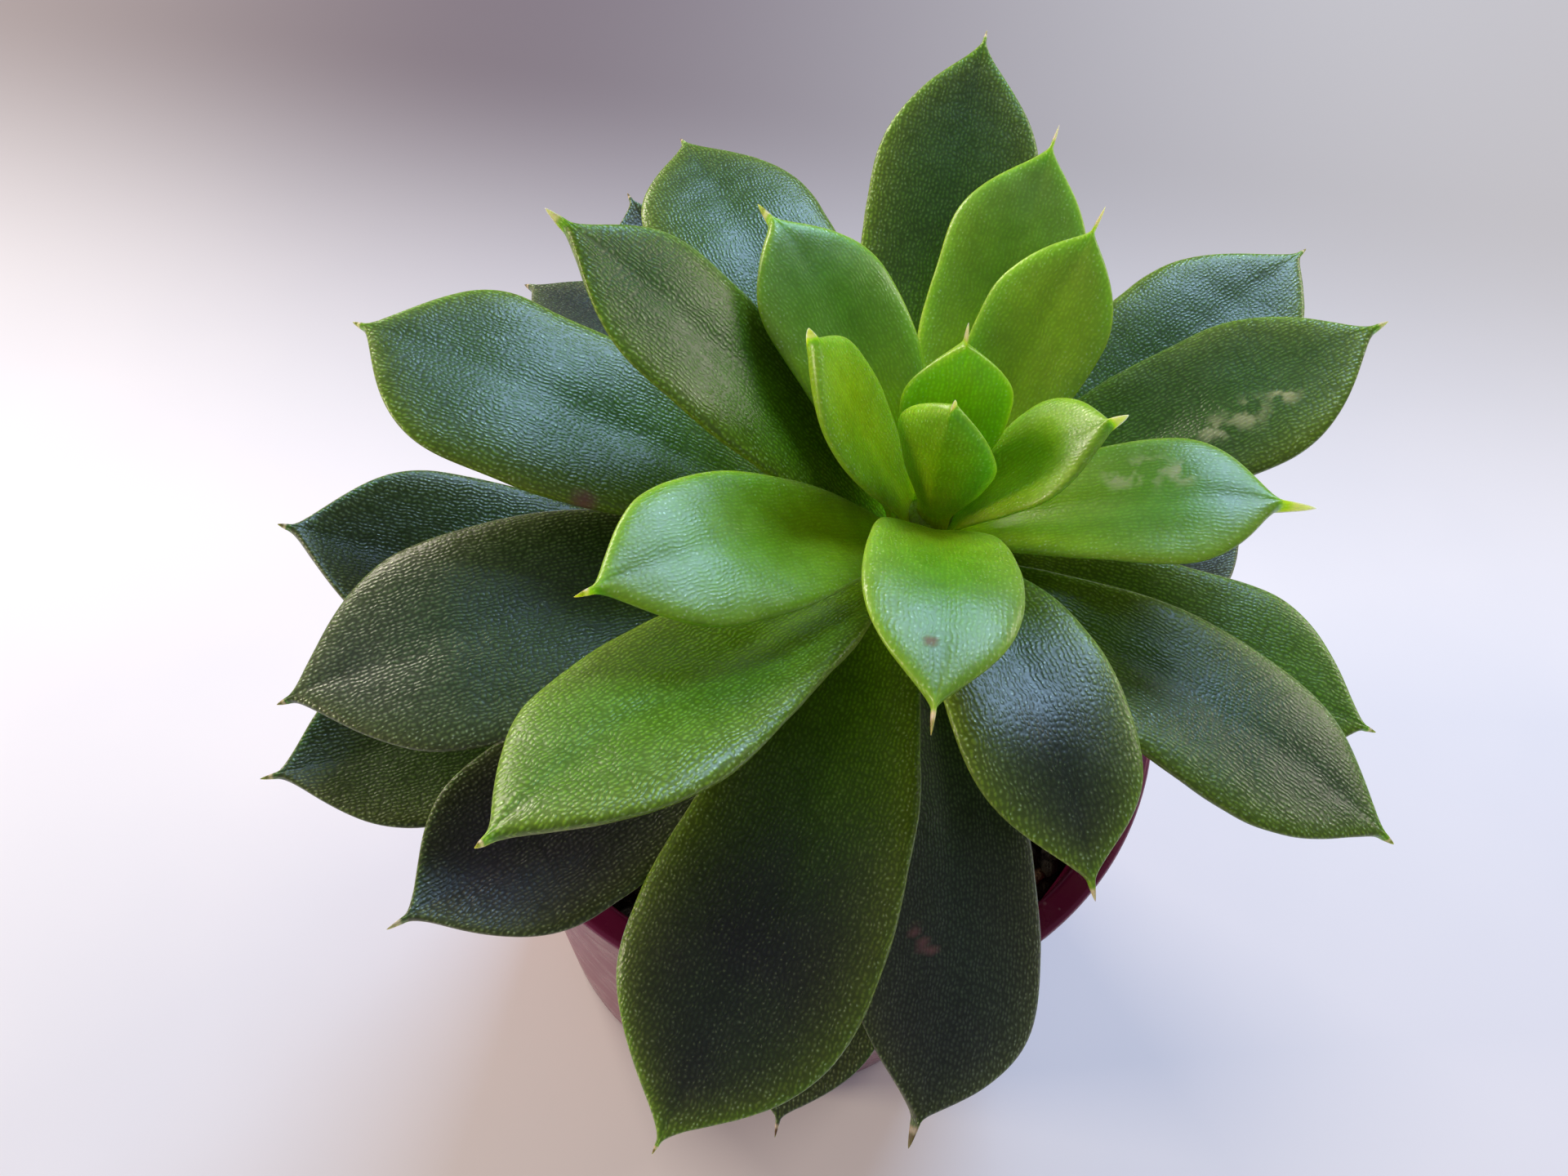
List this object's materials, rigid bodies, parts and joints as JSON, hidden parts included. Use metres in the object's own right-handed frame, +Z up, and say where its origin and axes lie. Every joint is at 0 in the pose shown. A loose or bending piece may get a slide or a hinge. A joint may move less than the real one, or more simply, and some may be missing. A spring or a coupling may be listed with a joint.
{
  "type": "potted succulent",
  "caption": "Rosette succulent with thick pointed leaves on a short leaning stem, growing in potting mix in a small round nursery pot.",
  "frame": {"origin": "centre of the flat pad under the pot, on the surface it stands on", "axes": "+Z up; +Y away from the side that the pot's rim and the lowest front leaf are seen from; the stem leans towards +X"},
  "size_m": [0.0866, 0.0868, 0.1018],
  "materials": {
    "pot_plastic": "gloss",
    "potting_mix": "matte",
    "stem_skin": "matte",
    "young_leaf": "satin",
    "grown_leaf": "satin",
    "old_leaf": "satin"
  },
  "bodies": {
    "root": {"pot": "pot_plastic", "potting_mix": "potting_mix", "stem": "stem_skin", "leaf_01": "young_leaf", "leaf_02": "young_leaf", "leaf_03": "young_leaf", "leaf_04": "young_leaf", "leaf_05": "young_leaf", "leaf_06": "young_leaf", "leaf_07": "young_leaf", "leaf_08": "young_leaf", "leaf_09": "young_leaf", "leaf_10": "young_leaf", "leaf_11": "grown_leaf", "leaf_12": "grown_leaf", "leaf_13": "grown_leaf", "leaf_14": "grown_leaf", "leaf_15": "grown_leaf", "leaf_16": "grown_leaf", "leaf_17": "grown_leaf", "leaf_18": "grown_leaf", "leaf_19": "grown_leaf", "leaf_20": "grown_leaf", "leaf_21": "grown_leaf", "leaf_22": "old_leaf", "leaf_23": "old_leaf", "leaf_24": "old_leaf", "leaf_25": "old_leaf", "leaf_26": "old_leaf", "leaf_27": "old_leaf", "leaf_28": "old_leaf", "leaf_29": "old_leaf", "leaf_30": "old_leaf", "leaf_31": "old_leaf", "leaf_32": "old_leaf", "leaf_33": "old_leaf", "leaf_34": "old_leaf"}
  },
  "joints": []
}
